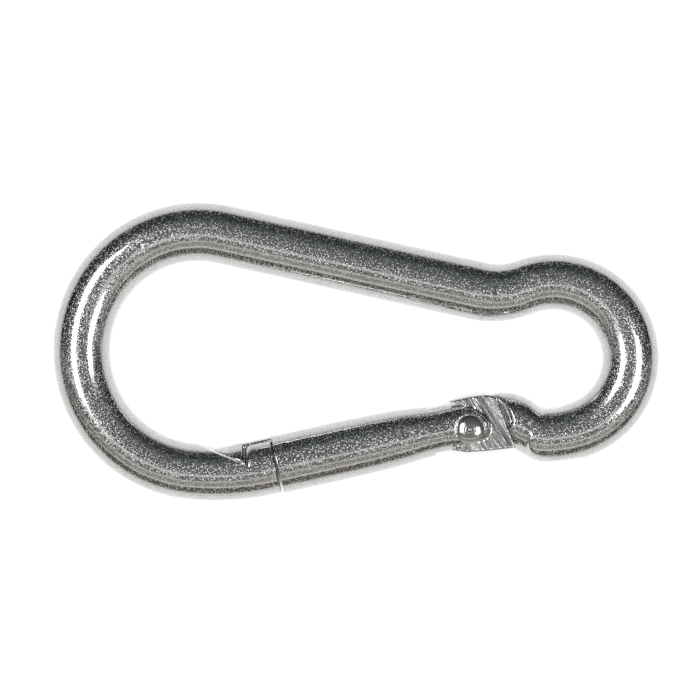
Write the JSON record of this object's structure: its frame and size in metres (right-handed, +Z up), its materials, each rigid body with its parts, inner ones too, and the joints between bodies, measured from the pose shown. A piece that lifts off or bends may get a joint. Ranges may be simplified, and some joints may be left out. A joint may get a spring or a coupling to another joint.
{
  "type": "spring snap hook",
  "caption": "Carbine-type snap hook bent from round steel bar, with a small eye, a big bow and a spring-closed gate on a riveted hinge.",
  "frame": {"origin": "middle of the base of the hook's box, lying flat on its side", "axes": "+X along the hook towards the small eye, +Y across it away from the gate, +Z up from the side it lies on, along the hinge rivet"},
  "size_m": [0.08, 0.0393, 0.0077],
  "materials": {
    "polished_bar": "tumble-polished bar with faint drawing lines",
    "polished_gate": "tumble-polished bar, ground flanks at the hinge",
    "rivet_steel": "turned and polished head",
    "spring_wire": "bright drawn spring wire",
    "pin_steel": "plain turned steel"
  },
  "bodies": {
    "hook": {"hook_body": "polished_bar"},
    "gate": {"gate": "polished_gate", "hinge_rivet": "rivet_steel", "gate_spring": "spring_wire"},
    "plunger": {"spring_plunger": "pin_steel"}
  },
  "joints": [
    {"name": "gate_hinge", "type": "hinge", "parent": "hook", "child": "gate", "pos_m": [0.01501, -0.0103, 0.00383], "axis": [0, 0, -1], "range_deg": [0, 40], "stiffness_Nm_per_rad": 0.16, "springref_deg": -36.1, "deforming": ["gate_spring"]},
    {"name": "plunger_slide", "type": "slide", "parent": "gate", "child": "plunger", "axis": [-0.9767, -0.2147, 0], "range_m": [0, 0.0013], "deforming": ["gate_spring"]}
  ],
  "couplings": [
    {"joint": "plunger_slide", "follows": "gate_hinge", "m_per_rad": 0.0018}
  ]
}
